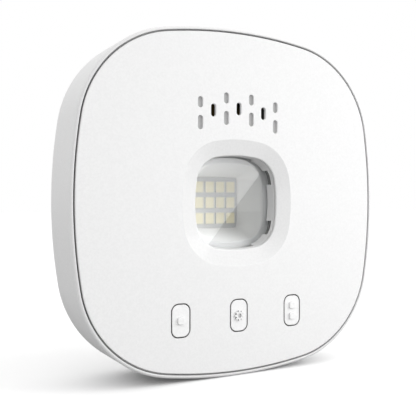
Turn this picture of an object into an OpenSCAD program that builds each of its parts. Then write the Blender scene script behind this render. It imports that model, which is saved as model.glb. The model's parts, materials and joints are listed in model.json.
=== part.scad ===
// Garage door controller: a hub with a strobe light, a siren and three buttons, on a wall bracket.
// Millimetres. X is to the right, Y goes into the wall and Z is up.
// The origin is the centre of the bracket's back face, on the wall.

/* [Hub] */
// Width and height of the hub, outside its rim
hub_w = 130; // [126:1:150]
// Depth of the hub from its front face to its back face
hub_depth = 30; // [29.5:0.5:38]
// Radius of the gently bulged sides
side_r = 185.5; // [160:1:300]
// Radius of the round corners
corner_r = 39.5; // [36:0.5:44]
// Radius around the back edge
back_fillet = 8; // [4:0.5:9]
// Thickness of the housing's side wall
wall_t = 2.4; // [2:0.1:3]
// Thickness of the housing's back, outside the bracket recess
floor_t = 3.9; // [3.6:0.1:4.2]
// Width of the thin rim that shows around the front cover
rim_lip = 1.2; // [0.8:0.1:1.4]
// Dark gap between the rim and the front cover
cover_gap = 0.6; // [0.4:0.1:0.8]

/* [Front cover] */
// Thickness of the front cover
cover_t = 2.2; // [1.8:0.1:2.6]
// Radius on the cover's front edge
cover_edge_r = 0.4; // [0.3:0.1:1.2]
// Height of the locating rib behind the cover
rib_h = 3.6; // [2:0.2:6]
// Thickness of the locating rib
rib_t = 1.4; // [1:0.1:2]
// Distance of the corner posts from the hub's side
post_inset = 21.5; // [20:0.5:23]
// Radius of the corner posts
post_r = 3.6; // [3:0.1:4]

/* [Window] */
// Half width of the window opening
win_half = 17.8; // [16.5:0.1:18.5]
// Radius of the opening's bulged sides
win_side_r = 51; // [40:1:90]
// Radius of the opening's corners
win_corner_r = 10.4; // [9:0.2:11]
// Width of the dished ring around the opening
dish_w = 5.9; // [4:0.1:7]
// Depth of the dished ring at the opening
dish_depth = 1.3; // [0.6:0.1:1.6]
// Depth from the front face to the lens
tunnel_depth = 6.4; // [5.5:0.1:8]
// How far the tunnel closes in from the opening to the lens
tunnel_draft = 0.85; // [0.3:0.05:1.2]
// Thickness of the tunnel wall at the opening
tunnel_wall = 0.6; // [0.5:0.1:1]
// Thickness of the lens
lens_t = 1.2; // [0.8:0.1:2]
// Height of the vent notches at the foot of the tunnel
notch_h = 2.6; // [1.5:0.1:2.8]
// Length of the short notches in the left and right walls
notch_short = 5.4; // [3:0.2:6]
// Distance of the short notches from the middle
notch_off = 9.8; // [9:0.1:10.5]
// Length of the long notches in the top and bottom walls
notch_long = 18; // [8:0.5:19]

/* [Strobe light] */
// Half width of the reflector's mouth
mouth_half = 15.2; // [14.5:0.1:15.6]
// Radius of the mouth's corners
mouth_corner_r = 7.6; // [6.4:0.1:8.4]
// Room beside the emitters in the light recess at the foot of the reflector
led_margin = 1.2; // [0.5:0.1:1.3]
// Radius of the recess's corners
recess_corner_r = 1.2; // [0.6:0.1:1.6]
// Height of the header between the light board and the main board
header_h = 1.6; // [1.5:0.1:2.5]
// Depth of the straight recess at its foot
recess_h = 1.8; // [1.5:0.1:2.2]
// Wall of the reflector
refl_wall = 1.2; // [0.8:0.1:1.4]
// Width and height of one light emitter
led_size = [4, 4.5]; // [3.6:0.1:4.6]
// Column and row pitch of the emitters
led_pitch = [4.75, 6.25]; // [4.7:0.05:6.4]
// Height of one light emitter
led_h = 0.7; // [0.4:0.1:1]
// Width of the square light board
led_board_w = 31; // [30.5:0.5:32]

/* [Sound slots] */
// Column pitch of the slots
slot_pitch = 5.44; // [5:0.02:5.6]
// Width of a slot
slot_w = 2.05; // [1.6:0.05:2.4]
// Distance from the dished ring up to the middle slot's centre
slot_rise = 11.5; // [10.8:0.1:12.5]
// Drop of the outer columns per column past the first
slot_drop = 1.08; // [0.6:0.02:1.4]
// Length of the open slots
slot_open_len = 4.75; // [4:0.05:5.5]
// Length of the upper blind slots
slot_upper_len = 4.05; // [3.5:0.05:4.5]
// Length of the lower blind slots
slot_lower_len = 5.15; // [4.5:0.05:5.6]
// Distance from an upper blind slot to the lower one below it
slot_pair = 7.4; // [6:0.05:7.6]
// Thickness of the cover at the open slots
slot_face = 1.1; // [0.9:0.1:1.6]
// Depth of the blind slots
slot_blind = 0.8; // [0.4:0.1:1.2]

/* [Siren] */
// Radius of the siren
siren_r = 13.5; // [13.2:0.1:14]
// Height of the siren
siren_h = 12; // [9:0.5:13]
// Wall of the siren's body
siren_wall = 1.4; // [1:0.1:1.6]
// Thickness of the sealing ring in front of the siren
gasket_t = 1.2; // [0.8:0.1:2]

/* [Buttons] */
// Width and height of a button hole
button_hole = [7.8, 12.5]; // [7:0.1:14]
// Radius of the button hole's corners
button_r = 2.9; // [2.2:0.1:3.2]
// Gap around a button
button_gap = 0.45; // [0.3:0.05:0.6]
// Room between the outer buttons and the bosses beside them
button_room = 1.9; // [1:0.05:3]
// Distance of the buttons' centres from the hub's bottom
button_edge = 22.6; // [22:0.1:23]
// Travel of a button
button_travel = 0.6; // [0.3:0.05:0.7]
// Height of the raised dots and gear
icon_h = 0.6; // [0.2:0.05:0.7]
// Width of a raised dot
dot_w = 2.6; // [2.4:0.1:3.6]
// Distance between the two dots
dot_pitch = 4.2; // [4:0.1:5]
// Outer radius of the raised gear
gear_r = 1.95; // [1.8:0.05:2.6]
// Teeth of the raised gear
gear_teeth = 8; // [6:1:10]

/* [Boards] */
// Thickness of the main board and the light board
board_t = 1.6; // [1.2:0.1:1.8]
// Thickness of the button board
button_board_t = 1.2; // [1:0.1:1.4]
// Room between the button board and the corner posts
button_board_gap = 2.9; // [2:0.1:4]
// Height of the button board
button_board_h = 14; // [13:0.5:14]
// Distance of the main board's edge from the hub's top and bottom
board_margin = 17; // [16.8:0.1:18]
// Height of the posts under the main board
standoff_h = 1.5; // [1:0.1:1.5]

/* [Power inlet] */
// Width of the cable bay
bay_w = 17; // [14:0.5:22]
// Distance of the bay's front wall from the jack's centre line
bay_reach = 6.1; // [5.8:0.1:6.2]
// Wall around the cable bay
bay_wall = 1.8; // [1.4:0.1:1.8]
// Radius of the jack's plug hole
jack_bore_r = 3; // [2.6:0.1:3.4]
// Radius of the jack's centre pin
jack_pin_r = 1; // [0.6:0.05:1.2]
// Width, length and height of the jack
jack_size = [9.2, 13.7, 10.8]; // [8:0.1:14]

/* [Wall bracket] */
// Thickness of the bracket's plate
bracket_t = 2.4; // [2.2:0.1:2.6]
// Height of the bracket's plate
bracket_h = 62; // [60:1:63]
// Gap between the wall and the hub's back
wall_gap = 1; // [0.8:0.1:1.2]
// Gap between the bracket and the hub's recess
bracket_gap = 0.3; // [0.2:0.05:0.4]
// Distance of the hooks' centres from the hub's side
hook_inset = 19; // [18.5:0.1:19.5]
// Height of the hooks above and below the bracket's centre
hook_z = 17.5; // [17.2:0.1:18]
// Width of a hook
hook_w = 10; // [8:0.5:10]
// Thickness of a hook's neck and head
hook_t = [3, 2.4]; // [2:0.1:3.2]
// How far a hook reaches up behind the hub's back
hook_reach = 6; // [4:0.5:6]
// How far the hub lifts to clear the hooks
lift_travel = 7; // [6.5:0.1:7]
// Radius of the bracket's screw holes
bracket_hole_r = 2.3; // [1.8:0.1:2.6]
// Radius of the heads of the wall screws
wall_head_r = 4.6; // [3.5:0.1:4.6]

/* [Hidden] */
$fn = 96;
side_steps = 6;
corner_steps = 10;
edge_steps = 4;

// Clearances
fit = 0.05;
rib_clear = 0.3;
hook_clear = 0.2;
slide_clear = 0.8;
pass_clear = 0.6;
flange_clear = 0.3;
cut = 1;
lap = 0.5;

// Depths are measured from the front face, towards the wall
wall_d = hub_depth + wall_gap;
front_y = -wall_d;
bracket_front_d = wall_d - bracket_t;
recess_d = bracket_front_d - bracket_gap;
floor_d = hub_depth - floor_t;
main_back_d = floor_d - standoff_h;
main_front_d = main_back_d - board_t;
lens_back_d = tunnel_depth + lens_t;
led_back_d = main_front_d - header_h;
led_board_d = led_back_d - board_t;
funnel_foot_d = led_board_d - recess_h;

// Outlines of rounded squares: half width, side radius, corner radius
recess_side_r = 400;
led_cols = 4;
led_rows = 3;
recess_half = (led_cols - 1) / 2 * led_pitch[0] + led_size[0] / 2 + led_margin;
hub_half = hub_w / 2;
hub_line = [hub_half, side_r, corner_r];
win_line = [win_half, win_side_r, win_corner_r];
mouth_line = [mouth_half, win_side_r - win_half + mouth_half, mouth_corner_r];
recess_line = [recess_half, recess_side_r, recess_corner_r];

// Cover and housing
cover_inset = rim_lip + cover_gap;
rib_inset = wall_t + rib_clear;
inner_chamfer = 4;
pad_t = 1;
pad_w = 3;
post_pos = hub_half - post_inset;
tower_h = 6.1;
tower_r = 4.2;
tower_d = floor_d - tower_h;

// Screws: head radius, head height, shank radius
case_screw = [2.9, 2.2, 1.45];
small_screw = [2.1, 1.2, 1];
case_pilot_r = case_screw[2] + fit;
small_pilot_r = small_screw[2] + fit;
screw_pass = 0.3;
boss_r = 2.7;
case_seat = 2.5;
case_screw_len = 10.5;
small_screw_len = 5;
pilot_extra = 0.8;
small_pilot_len = small_screw_len + pilot_extra / 2;
small_pass_r = small_screw[2] + screw_pass;
recess_cut = [0.6, 0.28, 0.5];

// Strobe light
flange_t = 1.2;
flange_lip = 1.2;
ear_gap = 1;
ear_r = 3.4;
ear_pos = corner_c(win_line) + (win_corner_r + tunnel_wall + boss_r + ear_gap) / sqrt(2);
led_post_r = 2.3;
led_post_h = 4.3;
led_base_t = 1.4;
led_screw_in = 2.5;
led_screw_pos = led_board_w / 2 - led_screw_in;

// Siren, behind the slots and clear of the reflector's flange
slot_z = win_half + dish_w + slot_rise;
slot_relief = 0.7;
siren_gap = 2.1;
siren_z = win_half + tunnel_wall + flange_lip + siren_gap + siren_r;
siren_front_d = cover_t + gasket_t;
siren_back_d = siren_front_d + siren_h;
siren_ear_out = 3.5;
siren_ear_h = 5.8;
siren_ear_x = siren_r + siren_ear_out;
siren_ear_d = cover_t + siren_ear_h;
siren_ear_t = 1.6;
siren_ear_r = 3.2;
disc_t = 0.4;
disc_step = 1.2;
disc_in = 6;
disc_d = siren_front_d + disc_in;
collar_t = 1.4;
collar_h = 2.6;
lead_r = 0.6;
lead_off = 2;
siren_socket_size = [10, 6, 3];

// Buttons and their board
button_z = -(hub_half - button_edge);
button_flange = 1.2;
button_flange_t = 0.9;
flange_d = cover_t + flange_clear;
stem_r = 1.6;
stem_h = 0.5;
stem_end_d = flange_d + button_flange_t + stem_h;
switch_w = 6;
switch_h = 3.3;
plunger_r = 1.7;
plunger_len = 2.7;
plunger_room = 0.2;
switch_front_d = stem_end_d + button_travel + plunger_room;
button_board_d = switch_front_d + switch_h;
button_board_back_d = button_board_d + button_board_t;
button_screw_in = 3;
button_board_w = 2 * (post_pos - post_r - button_board_gap);
button_screw_x = button_board_w / 2 - button_screw_in;
button_pitch = button_screw_x - boss_r - button_room - button_flange - button_hole[0] / 2;
button_xs = [-button_pitch, 0, button_pitch];
button_screw_xs = [-button_screw_x, -button_pitch / 2, button_pitch / 2, button_screw_x];
dot_r = 0.7;
gear_root = 0.7;
gear_bore = 0.42;

// Ribbon between the button board and the main board
ribbon_w = 7;
ribbon_t = 0.4;
ribbon_bend = 1.5;
ribbon_gap = 1.25;
ribbon_socket = [9, 4, 2];
ribbon_x = button_pitch / 2 + small_screw[0] + ribbon_gap + ribbon_socket[0] / 2;
ribbon_off = 2.4;
ribbon_low_z = button_z + ribbon_off;
ribbon_rise = 3;
ribbon_high_z = ribbon_low_z + 2 * ribbon_rise;

// Wall bracket
hook_x = hub_half - hook_inset;
hook_half = hook_w / 2;
hook_top = hook_t[0] / 2;
slot_h = lift_travel + hook_t[0] + pass_clear;
neck_end_d = floor_d - hook_clear;
hook_front_d = neck_end_d - hook_t[1];
trough_wall = 1.5;
trough_room = 0.5;
trough_d = hook_front_d - trough_room;
trough_half = hook_half + slide_clear;
trough_top = hook_z + hook_top + hook_reach + slide_clear;
trough_bottom = -hook_z + hook_top + fit - slot_h;
bracket_edge = 2;
bracket_half = hook_x + hook_half + bracket_edge;
bracket_r = 10;
head_half = wall_head_r + slide_clear;

// Main board and what stands on it
board_gap = 1.7;
board_half_w = hook_x - trough_half - trough_wall - board_gap;
board_half_h = hub_half - board_margin;
board_r = 3;
board_screw_in = 4;
standoff_r = 3;
part_in = 8;
part_x = board_half_w - part_in;
jack_over = 1.7;
jack_z = -board_half_h - jack_over;
jack_d = main_front_d - jack_size[2] / 2;
bay_top = jack_z - bay_wall;
bay_front_d = jack_d - bay_reach;
jack_depth = 9.5;
part_gap = 1;
shield_gap = 1.75;
shield_w = board_half_w - led_board_w / 2 - 2 * shield_gap;
shield_size = [shield_w, 24, 2.6];
controller_size = [12, 12, 1.4];
memory_size = [6, 5, 1.6];
crystal_size = [5, 3.2, 1.2];
cap_r = 4;
cap_h = 10;
cap_low_z = ribbon_high_z + ribbon_socket[1] + part_gap + cap_r;
cap_high_z = cap_low_z + 2 * cap_r + part_gap;
memory_z = cap_high_z + cap_r + part_gap + memory_size[1] / 2;
controller_z = memory_z + memory_size[1] / 2 + part_gap + controller_size[1] / 2;
crystal_z = controller_z + controller_size[1] / 2 + part_gap + crystal_size[1] / 2;
coil_base = [10, 10, 1.6];
coil_r = 4.4;
coil_h = 3.6;
wifi_size = [16, 6, 0.5];
wifi_h = 5;
wifi_leg = 1.2;
wifi_leg_gap = 4;
wifi_gap = 1;
wire_r = 0.6;
wire_bend = 2;
wire_rise = 8;
wire_len = 36;

// Coordinate of a rounded square's corner centres
function corner_c(o) =
    let (e = o[0] - o[1])
    (e + sqrt(2 * (o[1] - o[2]) * (o[1] - o[2]) - e * e)) / 2;

// A plane shape, drawn as seen from the front, made t thick from depth d
module slab(d, t) {
    translate([0, front_y + d + t, 0])
        rotate([90, 0, 0])
            linear_extrude(t)
                children();
}

// A round bar along the depth
module rod(x, z, d0, d1, r) {
    translate([x, front_y + d0, z])
        rotate([-90, 0, 0])
            cylinder(h = d1 - d0, r = r);
}

// A round bar along Z
module rod_up(x, d, z0, z1, r) {
    translate([x, front_y + d, z0])
        cylinder(h = z1 - z0, r = r);
}

// A block: centre, width and height seen from the front, and its depths
module block(x, z, w, h, d0, d1) {
    slab(d0, d1 - d0)
        translate([x, z])
            square([w, h], center = true);
}

module rounded_rect(w, h, r) {
    square([w - 2 * r, h], center = true);
    square([w, h - 2 * r], center = true);
    for (x = [-1, 1], y = [-1, 1])
        translate([x * (w / 2 - r), y * (h / 2 - r)])
            circle(r);
}

// A pill-shaped slot that stands upright
module pill(w, h) {
    square([w, h - w], center = true);
    for (y = [-1, 1])
        translate([0, y * (h - w) / 2])
            circle(w / 2);
}

// A point turned by k quarter turns
function turned(p, k) =
    k == 0 ? p : k == 1 ? [-p[1], p[0]] : k == 2 ? [-p[0], -p[1]] : [p[1], -p[0]];

// Points of a rounded square, u outside its outline: each side and each corner is one arc
function outline(o, u = 0) =
    let (
        e = o[0] - o[1],
        c = corner_c(o),
        a = atan2(c, c - e),
        side = [for (j = [0 : side_steps - 1])
            let (t = a * (2 * j / side_steps - 1))
            [e + (o[1] + u) * cos(t), (o[1] + u) * sin(t)]],
        corner = [for (j = [0 : corner_steps - 1])
            let (t = a + (90 - 2 * a) * j / corner_steps)
            [c + (o[2] + u) * cos(t), c + (o[2] + u) * sin(t)]]
    )
    [for (k = [0 : 3], p = concat(side, corner)) turned(p, k)];

// Points of an arc about c, from angle a0 to a1
function arc(c, r, a0, a1) =
    [for (k = [0 : edge_steps]) let (t = a0 + (a1 - a0) * k / edge_steps) c + r * [cos(t), sin(t)]];

// A rounded square plate whose edge stands u outside the outline
module outline_plate(o, u, d, t) {
    slab(d, t)
        polygon(outline(o, u));
}

// Skins a row of outlines, each [points, depth], with the outside running from the front to the back.
// A closed row joins its last outline to its first, and an open one has a flat cap at each end
module loft(rings, closed = false) {
    n = 4 * (side_steps + corner_steps);
    last = len(rings) - 1;
    points = [for (r = rings, p = r[0]) [p[0], front_y + r[1], p[1]]];
    walls = [for (i = [0 : closed ? last : last - 1], k = [0 : n - 1])
        let (
            a = i * n + k,
            b = i * n + (k + 1) % n,
            c = (i + 1) % (last + 1) * n + (k + 1) % n,
            d = (i + 1) % (last + 1) * n + k
        )
        each [[a, b, c], [a, c, d]]];
    caps = closed ? [] : [[for (k = [n - 1 : -1 : 0]) k], [for (k = [0 : n - 1]) last * n + k]];
    polyhedron(points, concat(walls, caps));
}

// A loft of one outline, each step of the profile [distance outside the outline, depth]
module outline_loft(o, profile, closed = false) {
    loft([for (p = profile) [outline(o, p[0]), p[1]]], closed);
}

// A screw with a cross recess: seat is under the head, tip the far end
module screw(x, z, seat, tip, size) {
    way = sign(tip - seat);
    top = seat - way * size[1];
    difference() {
        union() {
            rod(x, z, min(seat, top), max(seat, top), size[0]);
            rod(x, z, min(seat, tip), max(seat, tip), size[2]);
        }
        for (turn = [0, 90])
            slab(min(top, top + way * size[1] * recess_cut[2]), size[1] * recess_cut[2])
                translate([x, z])
                    rotate(turn)
                        square([2 * size[0] * recess_cut[0], size[0] * recess_cut[1]], center = true);
    }
}

// Runs its children at the four corners of a rectangle
module at_corners(x, z) {
    for (sx = [-1, 1], sz = [-1, 1]) {
        $px = sx * x;
        $pz = sz * z;
        children();
    }
}

module wall_bracket() {
    color("gainsboro")
        difference() {
            union() {
                slab(bracket_front_d, bracket_t)
                    rounded_rect(2 * bracket_half, bracket_h, bracket_r);
                at_corners(hook_x, hook_z) {
                    block($px, $pz, hook_w, hook_t[0], neck_end_d - lap, bracket_front_d + lap);
                    block($px, $pz + hook_reach / 2, hook_w, hook_t[0] + hook_reach,
                        hook_front_d, neck_end_d);
                }
            }
            for (s = [-1, 1])
                rod(s * hook_x, 0, bracket_front_d - cut, wall_d + cut, bracket_hole_r);
        }
}

// The housing's cup: up the inside from the floor, over the rim and down the outside
module housing_shell() {
    outline_loft(hub_line, concat(
        [
            [-wall_t - inner_chamfer, floor_d], [-wall_t, floor_d - inner_chamfer], [-wall_t, cover_t],
            [-rim_lip, cover_t], [-rim_lip, 0], [0, 0]
        ],
        arc([-back_fillet, hub_depth - back_fillet], back_fillet, 0, 90)
    ));
}

// Walls around the troughs that take the hooks, and their hollow
module trough(grow, d0, d1) {
    for (s = [-1, 1])
        block(s * hook_x, (trough_top + trough_bottom) / 2, 2 * (trough_half + grow),
            trough_top - trough_bottom + 2 * grow, d0, d1);
}

// The cable bay, open to the back and the bottom
module bay(grow, d0, low) {
    block(0, (bay_top + grow + low) / 2, bay_w + 2 * grow, bay_top + grow - low, d0, hub_depth + cut);
}

module bracket_cuts() {
    low = -bracket_h / 2 - slide_clear - lift_travel;
    high = bracket_h / 2 + slide_clear;
    slab(recess_d, floor_t)
        translate([0, (low + high) / 2])
            rounded_rect(2 * (bracket_half + slide_clear), high - low, bracket_r + slide_clear);
    trough(0, trough_d, floor_d);
    at_corners(hook_x, hook_z)
        block($px, $pz + hook_top + fit - slot_h / 2, 2 * trough_half, slot_h, floor_d - lap, wall_d);
    for (s = [-1, 1])
        block(s * hook_x, -lift_travel / 2, 2 * head_half, 2 * head_half + lift_travel,
            floor_d - lap, wall_d);
}

module rear_housing() {
    color("whitesmoke")
        difference() {
            union() {
                housing_shell();
                trough(trough_wall, trough_d - trough_wall, floor_d + lap);
                intersection() {
                    bay(bay_wall, bay_front_d - bay_wall, -hub_half);
                    outline_plate(hub_line, -wall_t / 2, 0, floor_d + lap);
                }
                at_corners(post_pos, post_pos)
                    rod($px, $pz, tower_d, floor_d + lap, tower_r);
                at_corners(board_half_w - board_screw_in, board_half_h - board_screw_in)
                    rod($px, $pz, main_back_d, floor_d + lap, standoff_r);
            }
            bracket_cuts();
            bay(0, bay_front_d, -hub_half - cut);
            rod_up(0, jack_d, bay_top - cut, jack_z + cut, jack_bore_r + fit);
            at_corners(post_pos, post_pos) {
                rod($px, $pz, tower_d - cut, hub_depth + cut, case_screw[2] + screw_pass);
                rod($px, $pz, tower_d + case_seat, hub_depth + cut, case_screw[0] + screw_pass);
            }
            at_corners(board_half_w - board_screw_in, board_half_h - board_screw_in)
                rod($px, $pz, main_back_d - cut, floor_d + pilot_extra, small_pilot_r);
        }
}

// The space in front of the lens: the dish, then the tapering tunnel
module window_hollow() {
    slope = dish_w / dish_depth;
    taper = tunnel_draft / (tunnel_depth - dish_depth);
    outline_loft(win_line, [
        [dish_w + slope * cut, -cut], [0, dish_depth], [-tunnel_draft - taper * cut, tunnel_depth + cut]
    ]);
}

module tunnel_notches() {
    reach = 2 * (win_half + tunnel_wall + cut);
    low_d = tunnel_depth - notch_h;
    for (s = [-1, 1])
        block(0, s * notch_off, reach, notch_short, low_d, tunnel_depth + cut);
    block(0, 0, notch_long, reach, low_d, tunnel_depth + cut);
}

// Middle height of a column of slots
function column_z(n) = slot_z - slot_drop * max(0, abs(n) - 1);

// The open slots, each with a wider relief behind it, and the blind ones
module sound_slots() {
    for (n = [-2, 0, 2]) {
        slab(-cut, cover_t + 2 * cut)
            translate([n * slot_pitch, column_z(n)])
                pill(slot_w, slot_open_len);
        slab(slot_face, cover_t - slot_face + cut)
            translate([n * slot_pitch, column_z(n)])
                pill(slot_w + 2 * slot_relief, slot_open_len + 2 * slot_relief);
    }
    for (n = [-3, -1, 1, 3])
        slab(-cut, slot_blind + cut) {
            translate([n * slot_pitch, column_z(n) + slot_pair / 2])
                pill(slot_w, slot_upper_len);
            translate([n * slot_pitch, column_z(n) - slot_pair / 2])
                pill(slot_w, slot_lower_len);
        }
}

module cover_bosses() {
    at_corners(post_pos, post_pos)
        rod($px, $pz, cover_t - lap, tower_d, post_r);
    at_corners(ear_pos, ear_pos)
        rod($px, $pz, cover_t - lap, lens_back_d, boss_r);
    for (s = [-1, 1])
        rod(s * siren_ear_x, siren_z, cover_t - lap, siren_ear_d, boss_r);
    for (x = button_screw_xs)
        rod(x, button_z, cover_t - lap, button_board_d, boss_r);
}

module cover_pilots() {
    case_tip_d = tower_d + case_seat - case_screw_len;
    at_corners(post_pos, post_pos)
        rod($px, $pz, case_tip_d - pilot_extra, tower_d + cut, case_pilot_r);
    at_corners(ear_pos, ear_pos)
        rod($px, $pz, lens_back_d + flange_t - small_pilot_len, lens_back_d + cut, small_pilot_r);
    for (s = [-1, 1])
        rod(s * siren_ear_x, siren_z, siren_ear_d + siren_ear_t - small_pilot_len,
            siren_ear_d + cut, small_pilot_r);
    for (x = button_screw_xs)
        rod(x, button_z, button_board_back_d - small_pilot_len, button_board_d + cut,
            small_pilot_r);
}

// The cover's plate with its rounded front edge and the locating rib behind it
module cover_plate() {
    outline_loft(hub_line, concat(
        arc([-cover_inset - cover_edge_r, cover_edge_r], cover_edge_r, -90, 0),
        [
            [-cover_inset, cover_t], [-rib_inset, cover_t], [-rib_inset, cover_t + rib_h],
            [-rib_inset - rib_t, cover_t + rib_h], [-rib_inset - rib_t, cover_t]
        ]
    ));
}

module front_cover() {
    color("white")
        difference() {
            union() {
                cover_plate();
                outline_plate(win_line, tunnel_wall, cover_t, tunnel_depth - cover_t);
                cover_bosses();
                difference() {
                    union() {
                        outline_plate(win_line, pad_w, cover_t - lap, pad_t + lap);
                        rod(0, siren_z, cover_t - lap, cover_t + collar_h, siren_r + rib_clear + collar_t);
                    }
                    rod(0, siren_z, cover_t, cover_t + collar_h + cut, siren_r + rib_clear);
                }
            }
            window_hollow();
            tunnel_notches();
            sound_slots();
            for (x = button_xs)
                slab(-cut, cover_t + 2 * cut)
                    translate([x, button_z])
                        rounded_rect(button_hole[0], button_hole[1], button_r);
            cover_pilots();
        }
}

module housing_screws() {
    seat = tower_d + case_seat;
    color("silver")
        at_corners(post_pos, post_pos)
            screw($px, $pz, seat, seat - case_screw_len, case_screw);
}

module window_lens() {
    color("azure", 0.4)
        outline_plate(win_line, tunnel_wall, tunnel_depth, lens_t);
}

module light_reflector() {
    flange_u = win_half + tunnel_wall + flange_lip - mouth_half;
    base_d = led_board_d - led_base_t;
    color("white")
        difference() {
            union() {
                loft([
                    [outline(recess_line), led_board_d], [outline(recess_line), funnel_foot_d],
                    [outline(mouth_line), lens_back_d], [outline(mouth_line, flange_u), lens_back_d],
                    [outline(mouth_line, flange_u), lens_back_d + flange_t],
                    [outline(mouth_line, refl_wall), lens_back_d + flange_t],
                    [outline(recess_line, refl_wall), funnel_foot_d],
                    [outline(recess_line, refl_wall), led_board_d]
                ], closed = true);
                at_corners(ear_pos, ear_pos)
                    rod($px, $pz, lens_back_d, lens_back_d + flange_t, ear_r);
                difference() {
                    slab(base_d, led_base_t)
                        rounded_rect(led_board_w, led_board_w, board_r);
                    outline_plate(recess_line, refl_wall / 2, base_d - cut, led_base_t + 2 * cut);
                }
                at_corners(led_screw_pos, led_screw_pos)
                    rod($px, $pz, led_board_d - led_post_h, led_board_d, led_post_r);
            }
            at_corners(ear_pos, ear_pos)
                rod($px, $pz, lens_back_d - cut, lens_back_d + flange_t + cut, small_pass_r);
            at_corners(led_screw_pos, led_screw_pos)
                rod($px, $pz, led_back_d - small_pilot_len, led_board_d + cut, small_pilot_r);
        }
}

module reflector_screws() {
    seat = lens_back_d + flange_t;
    color("silver")
        at_corners(ear_pos, ear_pos)
            screw($px, $pz, seat, seat - small_screw_len, small_screw);
}

module led_board() {
    color("darkseagreen")
        difference() {
            slab(led_board_d, board_t)
                rounded_rect(led_board_w, led_board_w, board_r);
            at_corners(led_screw_pos, led_screw_pos)
                rod($px, $pz, led_board_d - cut, led_back_d + cut, small_pass_r);
        }
}

module strobe_leds() {
    color("palegoldenrod")
        for (i = [0 : led_cols - 1], j = [0 : led_rows - 1])
            block((i - (led_cols - 1) / 2) * led_pitch[0], (j - (led_rows - 1) / 2) * led_pitch[1],
                led_size[0], led_size[1], led_board_d - led_h, led_board_d);
}

module led_board_screws() {
    color("silver")
        at_corners(led_screw_pos, led_screw_pos)
            screw($px, $pz, led_back_d, led_back_d - small_screw_len, small_screw);
}

module led_header() {
    header_size = [10, 5];
    header_z = -6;
    color("dimgray")
        block(0, header_z, header_size[0], header_size[1], led_back_d, main_front_d);
}

module siren_body() {
    color("dimgray")
        difference() {
            union() {
                rod(0, siren_z, siren_front_d, siren_back_d, siren_r);
                slab(siren_ear_d, siren_ear_t)
                    translate([0, siren_z]) {
                        square([2 * siren_ear_x, 2 * siren_ear_r], center = true);
                        for (s = [-1, 1])
                            translate([s * siren_ear_x, 0])
                                circle(siren_ear_r);
                    }
            }
            rod(0, siren_z, siren_front_d - cut, disc_d + disc_t, siren_r - siren_wall);
            rod(0, siren_z, disc_d, siren_back_d - siren_wall, siren_r - siren_wall - disc_step);
            for (s = [-1, 1])
                rod(s * siren_ear_x, siren_z, siren_ear_d - cut, siren_ear_d + siren_ear_t + cut,
                    small_pass_r);
        }
}

module siren_disc() {
    color("goldenrod")
        rod(0, siren_z, disc_d, disc_d + disc_t, siren_r - siren_wall - fit);
}

module siren_gasket() {
    color("black")
        difference() {
            rod(0, siren_z, cover_t, siren_front_d, siren_r);
            rod(0, siren_z, cover_t - cut, siren_front_d + cut, siren_r - siren_wall);
        }
}

module siren_screws() {
    seat = siren_ear_d + siren_ear_t;
    color("silver")
        for (s = [-1, 1])
            screw(s * siren_ear_x, siren_z, seat, seat - small_screw_len, small_screw);
}

module siren_leads() {
    color("firebrick")
        for (s = [-1, 1])
            rod(s * lead_off, siren_z, siren_back_d, main_front_d - siren_socket_size[2], lead_r);
}

module siren_socket() {
    color("ivory")
        block(0, siren_z, siren_socket_size[0], siren_socket_size[1],
            main_front_d - siren_socket_size[2], main_front_d);
}

module main_board() {
    color("seagreen")
        difference() {
            slab(main_front_d, board_t)
                rounded_rect(2 * board_half_w, 2 * board_half_h, board_r);
            at_corners(board_half_w - board_screw_in, board_half_h - board_screw_in)
                rod($px, $pz, main_front_d - cut, main_back_d + cut, small_pass_r);
        }
}

module main_board_screws() {
    color("silver")
        at_corners(board_half_w - board_screw_in, board_half_h - board_screw_in)
            screw($px, $pz, main_front_d, floor_d, small_screw);
}

// A plain component on the front of the main board
module on_board(x, z, size) {
    block(x, z, size[0], size[1], main_front_d - size[2], main_front_d);
}

module radio_shield() {
    shield_x = -board_half_w + shield_gap + shield_w / 2;
    shield_z = 8;
    color("silver")
        on_board(shield_x, shield_z, shield_size);
}

module controller_chip() {
    color("black")
        on_board(part_x, controller_z, controller_size);
}

module memory_chip() {
    color("black")
        on_board(part_x, memory_z, memory_size);
}

module crystal() {
    color("silver")
        on_board(part_x, crystal_z, crystal_size);
}

module capacitors() {
    color("navy")
        for (z = [cap_low_z, cap_high_z])
            rod(part_x, z, main_front_d - cap_h, main_front_d, cap_r);
}

module inductor() {
    coil_z = -20;
    color("dimgray") {
        on_board(-part_x, coil_z, coil_base);
        rod(-part_x, coil_z, main_front_d - coil_base[2] - coil_h, main_front_d - lap, coil_r);
    }
}

module dc_jack() {
    color("black")
        difference() {
            block(0, jack_z + jack_size[1] / 2, jack_size[0], jack_size[1],
                main_front_d - jack_size[2], main_front_d);
            rod_up(0, jack_d, jack_z - cut, jack_z + jack_depth, jack_bore_r);
        }
}

module dc_jack_pin() {
    tip = 1.5;
    color("gold")
        rod_up(0, jack_d, jack_z + tip, jack_z + jack_depth, jack_pin_r);
}

module wifi_antenna() {
    top_d = main_front_d - wifi_h;
    antenna_x = board_half_w - board_screw_in - standoff_r - wifi_gap - wifi_size[0] / 2;
    antenna_z = board_half_h - board_screw_in;
    color("gold") {
        block(antenna_x, antenna_z, wifi_size[0], wifi_size[1], top_d, top_d + wifi_size[2]);
        for (s = [0, 1])
            block(antenna_x - wifi_size[0] / 2 + wifi_leg / 2 + s * wifi_leg_gap,
                antenna_z + (wifi_size[1] - wifi_size[2]) / 2, wifi_leg, wifi_size[2], top_d, main_front_d);
    }
}

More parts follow.
